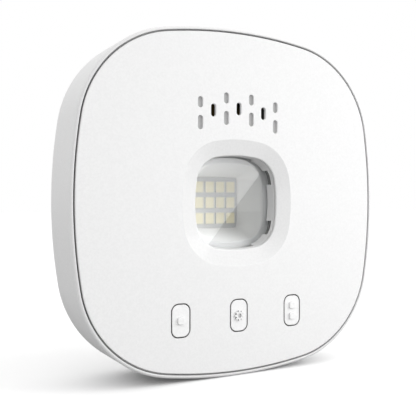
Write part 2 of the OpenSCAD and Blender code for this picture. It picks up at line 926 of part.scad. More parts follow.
module door_antenna() {
    wire_x = -board_half_w + board_screw_in;
    wire_z = 30;
    run_d = main_front_d - wire_rise - wire_bend;
    color("firebrick") {
        rod(wire_x, wire_z, main_front_d - wire_rise, main_front_d, wire_r);
        translate([wire_x, front_y + main_front_d - wire_rise, wire_z - wire_bend])
            rotate([0, -90, 0])
                rotate([0, 0, -90])
                    rotate_extrude(angle = 90)
                        translate([wire_bend, 0])
                            circle(wire_r);
        rod_up(wire_x, run_d, wire_z - wire_bend - wire_len, wire_z - wire_bend, wire_r);
    }
}

module button_board() {
    color("seagreen")
        difference() {
            block(0, button_z, button_board_w, button_board_h, button_board_d, button_board_back_d);
            for (x = button_screw_xs)
                rod(x, button_z, button_board_d - cut, button_board_back_d + cut, small_pass_r);
        }
}

module switch_bodies() {
    bore_end_d = stem_end_d + plunger_len + button_travel + plunger_room;
    color("dimgray")
        for (x = button_xs)
            difference() {
                block(x, button_z, switch_w, switch_w, switch_front_d, button_board_d);
                rod(x, button_z, switch_front_d - cut, bore_end_d, plunger_r + fit);
            }
}

module button_board_screws() {
    color("silver")
        for (x = button_screw_xs)
            screw(x, button_z, button_board_back_d, button_board_back_d - small_screw_len, small_screw);
}

// One edge of the ribbon, in depth and height, side * half its thickness off its middle
function ribbon_edge(side) =
    let (
        d0 = button_board_back_d + ribbon_socket[2] / 2,
        d1 = main_front_d - ribbon_socket[2] / 2,
        mid = ribbon_low_z + ribbon_rise,
        off = side * ribbon_t / 2,
        first = arc([d0 + ribbon_bend, mid - ribbon_bend], ribbon_bend + off, 180, 90),
        second = arc([d1 - ribbon_bend, mid + ribbon_bend], ribbon_bend - off, 270, 360)
    )
    concat([[d0 - off, ribbon_low_z]], first, second, [[d1 - off, ribbon_high_z]]);

module ribbon_cable() {
    left = ribbon_edge(1);
    right = ribbon_edge(-1);
    color("lightgray")
        translate([ribbon_x - ribbon_w / 2, front_y, 0])
            rotate([90, 0, 90])
                linear_extrude(ribbon_w)
                    polygon(concat(left, [for (k = [len(right) - 1 : -1 : 0]) right[k]]));
}

module ribbon_sockets() {
    color("ivory") {
        block(ribbon_x, ribbon_low_z - ribbon_socket[1] / 2, ribbon_socket[0], ribbon_socket[1],
            button_board_back_d, button_board_back_d + ribbon_socket[2]);
        block(ribbon_x, ribbon_high_z + ribbon_socket[1] / 2, ribbon_socket[0], ribbon_socket[1],
            main_front_d - ribbon_socket[2], main_front_d);
    }
}

// A button: cap, flange behind the cover and stem. Its children are the raised marks
module button(x) {
    key_w = button_hole[0] - 2 * button_gap;
    key_h = button_hole[1] - 2 * button_gap;
    flange = 2 * button_flange;
    slab(0, flange_d + lap)
        translate([x, button_z])
            rounded_rect(key_w, key_h, button_r - button_gap);
    slab(flange_d, button_flange_t)
        translate([x, button_z])
            rounded_rect(button_hole[0] + flange, button_hole[1] + flange, button_r + button_flange);
    rod(x, button_z, flange_d, stem_end_d, stem_r);
    slab(-icon_h, icon_h + lap)
        translate([x, button_z])
            children();
}

module plunger(x) {
    rod(x, button_z, stem_end_d, stem_end_d + plunger_len, plunger_r);
}

module gear_mark() {
    tooth = PI * gear_r / gear_teeth / 2;
    difference() {
        union() {
            circle(gear_r * gear_root);
            for (k = [0 : gear_teeth - 1])
                rotate(360 * k / gear_teeth)
                    translate([0, -tooth / 2])
                        square([gear_r, tooth]);
        }
        circle(gear_r * gear_bore);
    }
}

module left_button() {
    color("white")
        button(button_xs[0])
            rounded_rect(dot_w, dot_w, dot_r);
}

module left_plunger() {
    color("dimgray")
        plunger(button_xs[0]);
}

module settings_button() {
    color("white")
        button(button_xs[1])
            gear_mark();
}

module settings_plunger() {
    color("dimgray")
        plunger(button_xs[1]);
}

module right_button() {
    color("white")
        button(button_xs[2])
            for (s = [-1, 1])
                translate([0, s * dot_pitch / 2])
                    rounded_rect(dot_w, dot_w, dot_r);
}

module right_plunger() {
    color("dimgray")
        plunger(button_xs[2]);
}

wall_bracket();
rear_housing();
front_cover();
housing_screws();
window_lens();
light_reflector();
reflector_screws();
led_board();
strobe_leds();
led_board_screws();
led_header();
siren_body();
siren_disc();
siren_gasket();
siren_screws();
siren_leads();
siren_socket();
main_board();
main_board_screws();
radio_shield();
controller_chip();
memory_chip();
crystal();
capacitors();
inductor();
dc_jack();
dc_jack_pin();
wifi_antenna();
door_antenna();
button_board();
switch_bodies();
button_board_screws();
ribbon_cable();
ribbon_sockets();
left_button();
left_plunger();
settings_button();
settings_plunger();
right_button();
right_plunger();
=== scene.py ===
"""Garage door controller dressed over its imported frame.

Shapes are worked out in millimetres, with depths measured from the hub's front face towards the wall,
and become metres in the part's frame when a mesh is made.
"""
import json
import math

import bmesh
import bpy
from mathutils import Matrix, Vector


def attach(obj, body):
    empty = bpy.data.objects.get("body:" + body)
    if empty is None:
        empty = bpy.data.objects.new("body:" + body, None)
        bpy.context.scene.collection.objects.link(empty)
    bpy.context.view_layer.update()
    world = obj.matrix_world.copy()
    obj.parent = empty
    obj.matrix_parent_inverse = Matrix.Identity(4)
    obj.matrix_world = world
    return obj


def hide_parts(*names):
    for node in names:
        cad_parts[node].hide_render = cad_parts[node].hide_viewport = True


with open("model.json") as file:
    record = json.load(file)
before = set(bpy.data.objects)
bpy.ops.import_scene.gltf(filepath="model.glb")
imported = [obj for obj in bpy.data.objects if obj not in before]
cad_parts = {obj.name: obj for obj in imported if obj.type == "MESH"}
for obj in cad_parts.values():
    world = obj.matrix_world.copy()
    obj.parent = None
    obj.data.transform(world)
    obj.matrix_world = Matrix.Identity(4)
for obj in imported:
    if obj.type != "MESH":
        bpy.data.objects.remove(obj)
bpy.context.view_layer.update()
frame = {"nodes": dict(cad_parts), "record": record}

MM = 0.001
FRONT_Y = -31.0

# Steps along a rounded square's side and round its corner, round a rectangle's corner, round an edge,
# round the back's fillet, and round a circle
SIDE_STEPS = 14
CORNER_STEPS = 24
RECT_STEPS = 8
EDGE_STEPS = 6
FILLET_STEPS = 14
ROUND_STEPS = 32
SHARP_ANGLE = math.radians(34)

# Rounded squares: half width, radius of the bulged sides, radius of the corners
HUB_LINE = (65.0, 185.5, 39.5)
WINDOW_LINE = (17.8, 51.0, 10.4)
MOUTH_LINE = (15.2, 48.4, 7.6)
RECESS_LINE = (10.325, 400.0, 1.2)

# Rear housing
HUB_DEPTH = 30.0
WALL_T = 2.4
RIM_LIP = 1.2
RIM_ROUND_IN = 0.25
RIM_ROUND_OUT = 0.9
BACK_FILLET = 8.0
FLOOR_D = 26.1
INNER_CHAMFER = 4.0
BACK_EDGE = 0.4

# Front cover
COVER_T = 2.2
COVER_INSET = 1.8
COVER_ROUND = 0.4
RIB_INSET = 2.7
RIB_T = 1.4
RIB_H = 3.6
POST_POS = 43.5
POST_R = 3.6
TOWER_R = 4.2
TOWER_D = 20.0
BOSS_R = 2.7

# Window
DISH_W = 5.9
DISH_DEPTH = 1.3
DISH_ROUND = 1.0
LIP_ROUND = 0.5
GROOVE_D = (2.0, 2.35)
GROOVE_IN = 0.4
TUNNEL_DEPTH = 6.4
TUNNEL_DRAFT = 0.85
TUNNEL_WALL = 0.6
PAD_W = 3.0
PAD_T = 1.0
LENS_BACK_D = 7.6
LENS_CLEAR = 0.04
LENS_EDGE = 0.15
NOTCH_H = 2.6
NOTCH_SHORT = 5.4
NOTCH_OFF = 9.8
NOTCH_LONG = 18.0

# Strobe light
FUNNEL_FOOT_D = 18.0
LED_BOARD_D = 19.8
REFLECTOR_WALL = 1.2
MOUTH_ROUND = 0.5
FLANGE_T = 1.2
FLANGE_OUT = 4.4
EAR_POS = 17.2
EAR_R = 3.4
LED_SIZE = (4.0, 4.5)
LED_PITCH = (4.75, 6.25)
LED_COLUMNS = 4
LED_ROWS = 3
LED_H = 0.7
LED_CORNER = 0.3
LED_EDGE = 0.06
LED_FRAME = 0.12
LED_SUNK = 0.08

# Sound slots: columns with one open slot, and columns with a pair of blind ones
OPEN_COLUMNS = (-2, 0, 2)
PAIR_COLUMNS = (-3, -1, 1, 3)
SLOT_W = 2.05
SLOT_PITCH = 5.44
SLOT_Z = 35.2
SLOT_DROP = 1.08
SLOT_OPEN = 4.75
SLOT_UPPER = 4.05
SLOT_LOWER = 5.15
SLOT_PAIR = 7.4
SLOT_BLIND = 0.8
SLOT_FACE = 1.1
SLOT_RELIEF = 0.7
SLOT_ROUND = 0.2
COLLAR_OUT = 15.2
COLLAR_IN = 13.8
COLLAR_H = 2.6
SIREN_EAR_X = 17.0
SIREN_EAR_D = 8.0

# Buttons
BUTTON_HOLE = (7.8, 12.5, 2.9)
BUTTON_CAP = (6.9, 11.6, 2.45)
BUTTON_FLANGE = (10.2, 14.9, 4.1)
BUTTON_ROUND = 0.2
BUTTON_Z = -42.4
BUTTON_XS = (-24.3, 0.0, 24.3)
BUTTON_FLANGE_D = (2.5, 3.4)
BUTTON_STEM = (1.6, 3.9)
BUTTON_SCREW_XS = (-34.0, -12.15, 12.15, 34.0)
BUTTON_BOARD_D = 8.0
HOLE_ROUND = 0.15
ICON_H = 0.6
ICON_ROUND = 0.2
DOT_W = 2.6
DOT_R = 0.7
DOT_PITCH = 4.2
GEAR_R = 1.95
GEAR_ROOT = 0.7
GEAR_BORE = 0.42
GEAR_BORE_D = -0.02
GEAR_TEETH = 8
# Half turns of a tooth at its foot and at its tip, in radians, and the share of a mark's edge round
# that the gear takes
TOOTH_FOOT = 0.27
TOOTH_TIP = 0.19
GEAR_ROUND = 0.5

# Back of the housing
BRACKET_RECESS = (107.6, 70.6, 10.8)
BRACKET_RECESS_Z = -3.5
RECESS_D = 28.3
HOOK_X = 46.0
HOOK_Z = 17.5
HOOK_SLOT = (11.6, 10.6)
HOOK_SLOT_TOP = 1.55
TROUGH_Z = (-26.55, 25.8)
TROUGH_D = 23.0
TROUGH_WALL = 1.5
HEAD_SLOT = (10.8, 17.8)
HEAD_SLOT_Z = -3.5
BAY_W = 17.0
BAY_TOP = -51.5
BAY_FRONT_D = 11.5
BAY_WALL = 1.8
BAY_LOW = -63.6
BAY_CORNER = 1.0
JACK_D = 17.6
JACK_HOLE_R = 3.05
COUNTERBORE_R = 3.2
COUNTERBORE_D = 22.5
SHANK_HOLE_R = 1.75
SHARP_CORNER = 0.3

# How far cuts run past a face, and joined shapes into each other
OVER = 1.0
LAP = 0.5

# Width of a cut across the whole tunnel, and the lower end of the cable bay's cut, past the hub's foot
NOTCH_REACH = 2 * (WINDOW_LINE[0] + TUNNEL_WALL + OVER)
BAY_CUT_LOW = -HUB_LINE[0] - 3 * OVER

# What tells faces apart: just under the front face, near enough to a floor, turned to the front,
# and inside the dish's reach
SKIN_D = 0.002
NEAR = 0.05
FACING = 0.9
DISH_REACH = WINDOW_LINE[0] + DISH_W + OVER

# Nodes that keep their shape and get a broken edge
EDGED_NODES = ("wall_bracket", "housing_screws", "dc_jack")
NODE_EDGE = 0.25
NODE_EDGE_STEPS = 2


def rounded_square(line, grow=0.0):
    """Points of a rounded square, grow outside its line: each side and each corner is one arc."""
    half, side, corner = line
    side_centre = half - side
    corner_centre = (side_centre + math.sqrt(2 * (side - corner) ** 2 - side_centre * side_centre)) / 2
    half_turn = math.atan2(corner_centre, corner_centre - side_centre)
    quarter = []
    for j in range(SIDE_STEPS):
        t = half_turn * (2 * j / SIDE_STEPS - 1)
        quarter.append((side_centre + (side + grow) * math.cos(t), (side + grow) * math.sin(t)))
    for j in range(CORNER_STEPS):
        t = half_turn + (math.pi / 2 - 2 * half_turn) * j / CORNER_STEPS
        x, z = (corner_centre + (corner + grow) * part for part in (math.cos(t), math.sin(t)))
        quarter.append((x, z))
    points = list(quarter)
    for _ in range(3):
        quarter = [(-z, x) for x, z in quarter]
        points += quarter
    return points


def rounded_rect(size, grow=0.0, at=(0.0, 0.0)):
    """Points of a rectangle of (width, height, corner radius), grow outside its edge."""
    width, height, radius = size
    points = []
    for k, (sx, sz) in enumerate(((1, 1), (-1, 1), (-1, -1), (1, -1))):
        cx, cz = at[0] + sx * (width / 2 - radius), at[1] + sz * (height / 2 - radius)
        for j in range(RECT_STEPS + 1):
            t = math.pi / 2 * (k + j / RECT_STEPS)
            points.append((cx + (radius + grow) * math.cos(t), cz + (radius + grow) * math.sin(t)))
    return points


def circle(radius, at=(0.0, 0.0)):
    turns = [2 * math.pi * k / ROUND_STEPS for k in range(ROUND_STEPS)]
    return [(at[0] + radius * math.cos(t), at[1] + radius * math.sin(t)) for t in turns]


def gear(at, grow=0.0):
    """Outline of a gear whose teeth narrow towards their tips."""
    root, tip = GEAR_R * GEAR_ROOT + grow, GEAR_R + grow
    tooth = ((root, -TOOTH_FOOT), (tip, -TOOTH_TIP), (tip, 0.0), (tip, TOOTH_TIP), (root, TOOTH_FOOT),
             (root, math.pi / GEAR_TEETH))
    outline = []
    for k in range(GEAR_TEETH):
        for radius, turn in tooth:
            t = 2 * math.pi * k / GEAR_TEETH + turn
            outline.append((at[0] + radius * math.cos(t), at[1] + radius * math.sin(t)))
    return outline


def arc(centre, radius, start, end, steps=EDGE_STEPS):
    """Points of an arc in the profile's plane, between two angles in degrees."""
    turns = [math.radians(start + (end - start) * k / steps) for k in range(steps + 1)]
    return [(centre[0] + radius * math.cos(t), centre[1] + radius * math.sin(t)) for t in turns]


def add_loft(bm, rings, closed=False):
    """Skins a row of outlines, each (points, depth). An open row is capped at both ends."""
    rows = []
    for points, depth in rings:
        rows.append([bm.verts.new((x * MM, (FRONT_Y + depth) * MM, z * MM)) for x, z in points])
    pairs = list(zip(rows, rows[1:] + rows[:1])) if closed else list(zip(rows, rows[1:]))
    made = []
    for row, following in pairs:
        for k in range(len(row)):
            n = (k + 1) % len(row)
            made.append(bm.faces.new((row[k], row[n], following[n], following[k])))
    caps = [] if closed else [bm.faces.new(rows[0]), bm.faces.new(rows[-1])]
    bmesh.ops.recalc_face_normals(bm, faces=made + caps)


def profile_rings(outline, profile):
    """Rings for add_loft from a profile of (distance outside the outline, depth)."""
    return [(outline(u), d) for u, d in profile]


def plate(bm, points, d0, d1):
    add_loft(bm, [(points, d0), (points, d1)])


def block(bm, x, z, width, height, d0, d1):
    plate(bm, rounded_rect((width, height, SHARP_CORNER), at=(x, z)), d0, d1)


def rod(bm, x, z, d0, d1, radius):
    plate(bm, circle(radius, (x, z)), d0, d1)


def rod_up(bm, x, depth, z0, z1, radius):
    """A round bar along Z."""
    made = bmesh.ops.create_cone(bm, cap_ends=True, segments=ROUND_STEPS, radius1=radius * MM,
                                 radius2=radius * MM, depth=(z1 - z0) * MM)
    place = Vector((x * MM, (FRONT_Y + depth) * MM, (z0 + z1) / 2 * MM))
    bmesh.ops.translate(bm, verts=made["verts"], vec=place)


def corners(x, z):
    return [(sx * x, sz * z) for sx in (-1, 1) for sz in (-1, 1)]


def new_piece(name, bm):
    mesh = bpy.data.meshes.new(name)
    bm.to_mesh(mesh)
    bm.free()
    piece = bpy.data.objects.new(name, mesh)
    bpy.context.scene.collection.objects.link(piece)
    return piece


def combine(piece, operation, draw):
    """Joins to a piece, or cuts from it, the separate closed shapes that draw adds to an empty mesh."""
    bm = bmesh.new()
    draw(bm)
    tool = new_piece("tool", bm)
    modifier = piece.modifiers.new("tool", "BOOLEAN")
    modifier.operation = operation
    modifier.solver = "EXACT"
    modifier.object = tool
    graph = bpy.context.evaluated_depsgraph_get()
    mesh = bpy.data.meshes.new_from_object(piece.evaluated_get(graph))
    piece.modifiers.clear()
    old = piece.data
    piece.data = mesh
    mesh.name = piece.name
    bpy.data.meshes.remove(old)
    tool_mesh = tool.data
    bpy.data.objects.remove(tool)
    bpy.data.meshes.remove(tool_mesh)


def dress(piece, node, body, materials):
    """Smooths a new piece, gives it its materials and lets it stand for a CAD node."""
    mesh = piece.data
    mesh.materials.clear()
    for material in materials:
        mesh.materials.append(material)
    for polygon in mesh.polygons:
        polygon.use_smooth = True
    mesh.set_sharp_from_angle(angle=SHARP_ANGLE)
    normals = piece.modifiers.new("normals", "WEIGHTED_NORMAL")
    normals.keep_sharp = True
    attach(piece, body)
    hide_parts(node)


def faces_where(piece, material, test):
    """Gives a piece's material to the faces that pass a test of (x, depth, z, normal), in millimetres."""
    index = piece.data.materials.find(material.name)
    for polygon in piece.data.polygons:
        x, y, z = polygon.center / MM
        if test(x, y - FRONT_Y, z, polygon.normal):
            polygon.material_index = index


# Materials


# The middle part of a noise that is spread over a range of numbers or of colours
NOISE_SPAN = (0.3, 0.7)
TINT_SPAN = (0.35, 0.65)

# Painted shade in creases: how much of the surroundings is open from darkest to plain, and the rays that test
# it
CREASE_SHADE_SPAN = (0.15, 0.75)
CREASE_SHADE_RAYS = 8


class Shader:
    """A Principled material and the nodes that feed it."""

    def __init__(self, name, colour, roughness, **sockets):
        self.material = bpy.data.materials.new(name)
        self.material.use_nodes = True
        self.nodes = self.material.node_tree.nodes
        self.links = self.material.node_tree.links
        self.bsdf = self.nodes["Principled BSDF"]
        self.bsdf.inputs["Base Color"].default_value = (*colour, 1.0)
        self.bsdf.inputs["Roughness"].default_value = roughness
        for socket, value in sockets.items():
            self.bsdf.inputs[socket.replace("_", " ")].default_value = value
        self.coordinates = self.nodes.new("ShaderNodeTexCoord").outputs["Object"]

    def noise(self, scale, detail=3.0):
        noise = self.nodes.new("ShaderNodeTexNoise")
        noise.inputs["Scale"].default_value = scale
        noise.inputs["Detail"].default_value = detail
        self.links.new(self.coordinates, noise.inputs["Vector"])
        return noise.outputs["Fac"]

    def spread(self, source, low, high, socket):
        """Feeds a socket with a range of numbers."""
        span = self.nodes.new("ShaderNodeMapRange")
        span.inputs["From Min"].default_value, span.inputs["From Max"].default_value = NOISE_SPAN
        span.inputs["To Min"].default_value = low
        span.inputs["To Max"].default_value = high
        self.links.new(source, span.inputs["Value"])
        self.links.new(span.outputs["Result"], self.bsdf.inputs[socket])

    def tint(self, source, low, high):
        """Feeds the colour with a range between two colours."""
        ramp = self.nodes.new("ShaderNodeValToRGB")
        for stop, position, colour in zip(ramp.color_ramp.elements, TINT_SPAN, (low, high)):
            stop.position = position
            stop.color = (*colour, 1.0)
        self.links.new(source, ramp.inputs["Fac"])
        self.links.new(ramp.outputs["Color"], self.bsdf.inputs["Base Color"])

    def paint_crease_shade(self, reach, darkest):
        """Paints shade into the colour where other surfaces stand close by."""
        hidden = self.nodes.new("ShaderNodeAmbientOcclusion")
        hidden.samples = CREASE_SHADE_RAYS
        hidden.inputs["Distance"].default_value = reach
        span = self.nodes.new("ShaderNodeMapRange")
        span.inputs["From Min"].default_value, span.inputs["From Max"].default_value = CREASE_SHADE_SPAN
        span.inputs["To Min"].default_value = darkest
        self.links.new(hidden.outputs["AO"], span.inputs["Value"])
        product = self.nodes.new("ShaderNodeVectorMath")
        product.operation = "MULTIPLY"
        self.links.new(self.bsdf.inputs["Base Color"].links[0].from_socket, product.inputs[0])
        self.links.new(span.outputs["Result"], product.inputs[1])
        self.links.new(product.outputs["Vector"], self.bsdf.inputs["Base Color"])

    def bump(self, source, strength, distance):
        bump = self.nodes.new("ShaderNodeBump")
        bump.inputs["Strength"].default_value = strength
        bump.inputs["Distance"].default_value = distance
        self.links.new(source, bump.inputs["Height"])
        self.links.new(bump.outputs["Normal"], self.bsdf.inputs["Normal"])


def shade(colour, factor):
    return tuple(min(1.0, c * factor) for c in colour)


def plastic(name, colour, roughness, grain=0.12, variation=0.02, uneven=0.06, shade_in_creases=None, **sockets):
    """Moulded plastic: fine spark texture, a slight speckle, uneven gloss and, if asked for, painted shade in
    creases.
    """
    shader = Shader(name, colour, roughness, **sockets)
    speckle = shader.noise(scale=1400.0, detail=4.0)
    shader.tint(speckle, shade(colour, 1 - variation), shade(colour, 1 + variation))
    fine = shader.noise(scale=2600.0, detail=2.0)
    shader.spread(fine, roughness - uneven, roughness + uneven, "Roughness")
    shader.bump(fine, grain, distance=0.00006)
    # painted shade: the colour darkens where other surfaces stand close, as in the seam and the button gaps
    if shade_in_creases:
        shader.paint_crease_shade(*shade_in_creases)
    return shader.material


def clear_plastic(name):
    """Polished acrylic with a faintly uneven gloss."""
    shader = Shader(name, (0.97, 0.98, 0.98), roughness=0.03, Transmission_Weight=1.0, IOR=1.49)
    shader.spread(shader.noise(scale=60.0), low=0.004, high=0.02, socket="Roughness")
    return shader.material


def metal(name, colour, roughness):
    """Rolled metal with a mottled tone and gloss."""
    shader = Shader(name, colour, roughness, Metallic=1.0)
    mottled = shader.noise(scale=900.0, detail=4.0)
    shader.tint(mottled, low=shade(colour, 0.9), high=shade(colour, 1.08))
    shader.spread(mottled, low=roughness - 0.08, high=roughness + 0.1, socket="Roughness")
    shader.bump(mottled, strength=0.15, distance=0.00005)
    return shader.material


def board(name, colour):
    """Solder mask with the tracks under it showing as a faint relief."""
    shader = Shader(name, colour, roughness=0.35)
    tracks = shader.nodes.new("ShaderNodeTexBrick")
    tracks.inputs["Scale"].default_value = 160.0
    tracks.inputs["Mortar Size"].default_value = 0.03
    tracks.inputs["Color1"].default_value = (*colour, 1.0)
    tracks.inputs["Color2"].default_value = (*shade(colour, 0.92), 1.0)
    tracks.inputs["Mortar"].default_value = (*shade(colour, 1.15), 1.0)
    turn = shader.nodes.new("ShaderNodeMapping")
    turn.inputs["Rotation"].default_value = (math.pi / 2, 0.0, 0.0)
    shader.links.new(shader.coordinates, turn.inputs["Vector"])
    shader.links.new(turn.outputs["Vector"], tracks.inputs["Vector"])
    shader.links.new(tracks.outputs["Color"], shader.bsdf.inputs["Base Color"])
    shader.bump(tracks.outputs["Fac"], strength=0.3, distance=0.0001)
    return shader.material


def phosphor(name):
    """Cast yellow resin with grains of phosphor."""
    shader = Shader(name, (0.86, 0.80, 0.58), roughness=0.6, Specular_IOR_Level=0.0)
    shader.tint(shader.noise(scale=2200.0), low=(0.80, 0.73, 0.50), high=(0.90, 0.86, 0.68))
    shader.bump(shader.noise(scale=1500.0), strength=0.25, distance=0.0001)
    return shader.material


COVER_COLOUR = (0.88, 0.88, 0.88)
HOUSING_COLOUR = (0.80, 0.80, 0.80)
# painted shade: the cover's own plastic, given a darker tone on the walls inside the window
TUNNEL_SHADE_COLOUR = (0.74, 0.74, 0.74)
GREY_FLOOR = (0.50, 0.50, 0.50)
DISH_COLOUR = (0.83, 0.83, 0.83)
BUTTON_COLOUR = (0.93, 0.93, 0.93)
# Reach of the painted shade in creases, in metres, and how dark it gets
PAINTED_CREASE_SHADE = (0.0012, 0.3)

cover_white = plastic("cover_white", COVER_COLOUR, 0.46, shade_in_creases=PAINTED_CREASE_SHADE)
dish_white = plastic("dish_white", DISH_COLOUR, 0.03, grain=0.0, uneven=0.01)
shaded_tunnel_white = plastic("shaded_tunnel_white", TUNNEL_SHADE_COLOUR, 0.5, grain=0.05, Specular_IOR_Level=0.2)
slot_grey = plastic("slot_grey", GREY_FLOOR, 0.6)
housing_white = plastic("housing_white", HOUSING_COLOUR, 0.5)
button_white = plastic("button_white", BUTTON_COLOUR, 0.42, shade_in_creases=PAINTED_CREASE_SHADE)
reflector_white = plastic("reflector_white", (0.80, 0.80, 0.80), 0.6, grain=0.04, Specular_IOR_Level=0.0)
led_body = plastic("led_body", (0.72, 0.72, 0.70), 0.6, Specular_IOR_Level=0.0)
led_phosphor = phosphor("led_phosphor")
lens_clear = clear_plastic("lens_clear")
dark_plastic = plastic("dark_plastic", (0.03, 0.03, 0.032), 0.5)
SLOT_MATERIALS = {
    "housing_white": housing_white,
    "clear_lens": lens_clear,
    "pale_board": plastic("pale_board", (0.64, 0.64, 0.63), 0.6, grain=0.1, Specular_IOR_Level=0.0),
    "green_board": board("green_board", (0.03, 0.16, 0.08)),
    "dark_plastic": dark_plastic,
    "black_rubber": plastic("black_rubber", (0.02, 0.02, 0.02), 0.8, grain=0.4),
    "brass_parts": metal("brass_parts", (0.72, 0.52, 0.24), 0.3),
    "red_wire": plastic("red_wire", (0.45, 0.03, 0.03), 0.4),
    "ivory_plastic": plastic("ivory_plastic", (0.75, 0.71, 0.58), 0.45),
    "steel_parts": metal("steel_parts", (0.58, 0.58, 0.59), 0.32),
    "capacitor_can": plastic("capacitor_can", (0.03, 0.04, 0.12), 0.35),
    "grey_ribbon": plastic("grey_ribbon", (0.45, 0.45, 0.46), 0.5),
}
# painted shade: the siren disc's brass is darkened nearly to black to stand for the shade behind the open
# slots
NODE_MATERIALS = {"siren_disc": metal("brass_in_painted_shade", (0.10, 0.07, 0.03), 0.5)}


# Rear housing


def hub_outline(grow):
    return rounded_square(HUB_LINE, grow)


def housing_profile():
    """Up the inside from the floor, over the rim and down the outside to the back."""
    rim = [(-WALL_T - INNER_CHAMFER, FLOOR_D), (-WALL_T, FLOOR_D - INNER_CHAMFER)]
    rim += [(-WALL_T, COVER_T), (-RIM_LIP, COVER_T)]
    rim += arc((-RIM_LIP + RIM_ROUND_IN, RIM_ROUND_IN), RIM_ROUND_IN, 180, 270)
    rim += arc((-RIM_ROUND_OUT, RIM_ROUND_OUT), RIM_ROUND_OUT, 270, 360)
    rim += arc((-BACK_FILLET, HUB_DEPTH - BACK_FILLET), BACK_FILLET, 0, 90, FILLET_STEPS)
    return rim


def back_cutter(bm, outline, floor):
    """A cut from the back face down to a floor, with its rim broken by a small round."""
    profile = [(0.0, floor)] + arc((BACK_EDGE, HUB_DEPTH - BACK_EDGE), BACK_EDGE, 180, 90)
    profile += [(BACK_EDGE, HUB_DEPTH + OVER)]
    add_loft(bm, profile_rings(outline, profile))


def add_troughs(bm, grow, d0, d1):
    """The two upright channels that the bracket's hooks slide in, or with grow the walls around them."""
    low, high = TROUGH_Z
    for side in (-1, 1):
        block(bm, side * HOOK_X, (low + high) / 2, HOOK_SLOT[0] + 2 * grow, high - low + 2 * grow, d0, d1)


def add_inner_walls(bm):
    """The walls of the troughs and of the cable bay, and the screw towers."""
    add_troughs(bm, TROUGH_WALL, TROUGH_D - TROUGH_WALL, FLOOR_D + LAP)
    bay_outer_top = BAY_TOP + BAY_WALL
    block(bm, 0, (bay_outer_top + BAY_LOW) / 2, BAY_W + 2 * BAY_WALL, bay_outer_top - BAY_LOW,
          BAY_FRONT_D - BAY_WALL, FLOOR_D + LAP)
    for x, z in corners(POST_POS, POST_POS):
        rod(bm, x, z, TOWER_D, FLOOR_D + LAP, TOWER_R)


def cut_back(bm):
    """The bracket's recess, the cable bay, which is open below, and the counterbores."""
    back_cutter(bm, lambda u: rounded_rect(BRACKET_RECESS, u, (0, BRACKET_RECESS_Z)), RECESS_D)
    bay_size = (BAY_W, BAY_TOP - BAY_CUT_LOW, BAY_CORNER)
    back_cutter(bm, lambda u: rounded_rect(bay_size, u, (0, (BAY_TOP + BAY_CUT_LOW) / 2)), BAY_FRONT_D)
    for x, z in corners(POST_POS, POST_POS):
        back_cutter(bm, lambda u, at=(x, z): circle(COUNTERBORE_R + u, at), COUNTERBORE_D)


def cut_troughs(bm):
    add_troughs(bm, 0, TROUGH_D, FLOOR_D)


def cut_openings(bm):
    """The slots for the hooks and the wall screws' heads, the screw holes and the jack's hole."""
    for x, z in corners(HOOK_X, HOOK_Z):
        block(bm, x, z + HOOK_SLOT_TOP - HOOK_SLOT[1] / 2, *HOOK_SLOT, FLOOR_D - LAP, HUB_DEPTH)
    for side in (-1, 1):
        block(bm, side * HOOK_X, HEAD_SLOT_Z, *HEAD_SLOT, FLOOR_D - LAP, HUB_DEPTH)
    for x, z in corners(POST_POS, POST_POS):
        rod(bm, x, z, TOWER_D - OVER, COUNTERBORE_D + OVER, SHANK_HOLE_R)
    rod_up(bm, 0, JACK_D, BAY_TOP - OVER, BAY_TOP + BAY_WALL + OVER, JACK_HOLE_R)


def build_rear_housing():
    bm = bmesh.new()
    add_loft(bm, profile_rings(hub_outline, housing_profile()))
    piece = new_piece("housing_shell", bm)
    combine(piece, "UNION", add_inner_walls)
    for cut in (cut_back, cut_troughs, cut_openings):
        combine(piece, "DIFFERENCE", cut)
    dress(piece, "rear_housing", "hub", [housing_white])


# Front cover


def window_outline(grow):
    return rounded_square(WINDOW_LINE, grow)


def window_profile():
    """The dished ring with a soft outer edge, a rounded lip, a thin groove and the tapering tunnel."""
    slope = math.atan2(DISH_DEPTH, DISH_W)
    draft = math.atan2(TUNNEL_DRAFT, TUNNEL_DEPTH - DISH_DEPTH)
    start = DISH_W + DISH_ROUND * math.tan(slope / 2)
    outer = arc((start, DISH_ROUND), DISH_ROUND, -90, -90 - math.degrees(slope))
    into_dish = Vector((math.sin(slope), math.cos(slope)))
    into_wall = Vector((math.cos(draft), math.sin(draft)))
    centre = Vector((0.0, DISH_DEPTH)) + LIP_ROUND * (into_dish + into_wall) / (1 + into_dish.dot(into_wall))
    lip = arc(centre, LIP_ROUND, 270 - math.degrees(slope), 180 + math.degrees(draft))
    wall = [((DISH_DEPTH - d) * math.tan(draft), d) for d in (*GROOVE_D, TUNNEL_DEPTH + OVER)]
    groove = [wall[0], (wall[0][0] + GROOVE_IN, GROOVE_D[0]), (wall[1][0] + GROOVE_IN, GROOVE_D[1]), wall[1]]
    return [(start, -OVER)] + outer + lip + groove + [wall[2]]


def mouth_profile(radius, floor):
    """A straight hole in the face, with a small round at its mouth, down to a floor."""
    return [(radius, -OVER)] + arc((radius, radius), radius, 270, 180) + [(0.0, floor)]


def slot_cutter(bm, x, z, length, floor, relief=None):
    """A pill-shaped slot, either blind or opening into a wider relief."""
    size = (SLOT_W, length, SLOT_W / 2)
    profile = mouth_profile(SLOT_ROUND, floor)
    if relief:
        profile += [(relief, floor), (relief, COVER_T + OVER)]
    add_loft(bm, profile_rings(lambda u: rounded_rect(size, u, (x, z)), profile))


def column_z(n):
    """Height of the middle of a column of slots: the outer ones lie lower."""
    return SLOT_Z - SLOT_DROP * max(0, abs(n) - 1)


